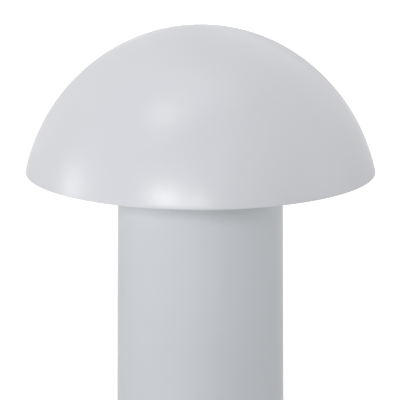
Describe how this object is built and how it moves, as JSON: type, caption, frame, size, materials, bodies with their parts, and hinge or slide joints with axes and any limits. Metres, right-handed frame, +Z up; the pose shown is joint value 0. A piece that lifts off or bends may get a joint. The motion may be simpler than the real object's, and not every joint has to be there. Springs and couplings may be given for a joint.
{
  "type": "cordless table lamp",
  "caption": "Cordless table lamp: a domed shade on a thick round stem that holds the battery, with a push button and a covered charging port at the back.",
  "frame": {"origin": "centre of the foot on the table", "axes": "+Z up through the stem and the shade's crown, +Y towards the back with its button and port, +X to the right as seen from the front"},
  "size_m": [0.1598, 0.1598, 0.22],
  "materials": {
    "shade_paint": "satin light grey paint over moulded plastic",
    "stem_paint": "satin light grey paint over moulded plastic",
    "button_paint": "satin light grey",
    "base_plastic": "satin light grey",
    "cover_silicone": "matt light grey silicone",
    "opal_plastic": "opal, lets light through",
    "white_plastic": "plain moulded",
    "black_plastic": "plain moulded",
    "aluminium_plate": "bare",
    "steel_parts": "zinc plated",
    "nickel_plate": "nickel plated",
    "brass_nut": "bare",
    "led_board_white": "white solder mask",
    "circuit_board": "green solder mask",
    "led_phosphor": "phosphor yellow",
    "clear_pipe": "clear, frosted end",
    "lead_sleeve": "matt",
    "soft_rubber": "matt",
    "foot_rubber": "matt silicone",
    "cell_wrap": "blue shrink sleeve"
  },
  "bodies": {
    "lamp": {"shade": "shade_paint", "shade_bracket": "white_plastic", "shade_screws": "steel_parts", "led_carrier": "aluminium_plate", "carrier_nuts": "brass_nut", "led_board": "led_board_white", "led_chips": "led_phosphor", "led_board_screws": "steel_parts", "led_socket": "white_plastic", "diffuser": "opal_plastic", "diffuser_screws": "steel_parts", "diffuser_seal": "soft_rubber", "collar_gasket": "soft_rubber", "stem_housing": "stem_paint", "stem_screws": "steel_parts", "cable_grommet": "soft_rubber", "led_lead": "lead_sleeve", "control_board": "circuit_board", "control_chips": "black_plastic", "power_inductor": "black_plastic", "lead_sockets": "white_plastic", "lead_plugs": "white_plastic", "board_screws": "steel_parts", "usb_socket": "nickel_plate", "usb_tongue": "black_plastic", "switch_body": "black_plastic", "button_seal": "soft_rubber", "charge_led": "led_phosphor", "charge_light_pipe": "clear_pipe", "battery_holder": "black_plastic", "battery_cell_left": "cell_wrap", "battery_cell_right": "cell_wrap", "battery_terminals": "nickel_plate", "battery_link": "nickel_plate", "battery_band": "soft_rubber", "battery_lead": "lead_sleeve", "holder_screws": "steel_parts", "ballast_disc": "steel_parts", "base_cover": "base_plastic", "base_seal": "soft_rubber", "base_screws": "steel_parts", "foot_ring": "foot_rubber"},
    "button": {"button_cap": "button_paint", "switch_plunger": "black_plastic"},
    "port_flap": {"port_cover": "cover_silicone"}
  },
  "joints": [
    {"name": "button_press", "type": "slide", "parent": "lamp", "child": "button", "axis": [0, -1, 0], "range_m": [0, 0.0005], "stiffness_N_per_m": 1200, "springref_m": -0.0008},
    {"name": "port_cover_swing", "type": "hinge", "parent": "lamp", "child": "port_flap", "pos_m": [0, 0.03669, 0.02], "axis": [-1, 0, 0], "range_deg": [0, 90]}
  ]
}
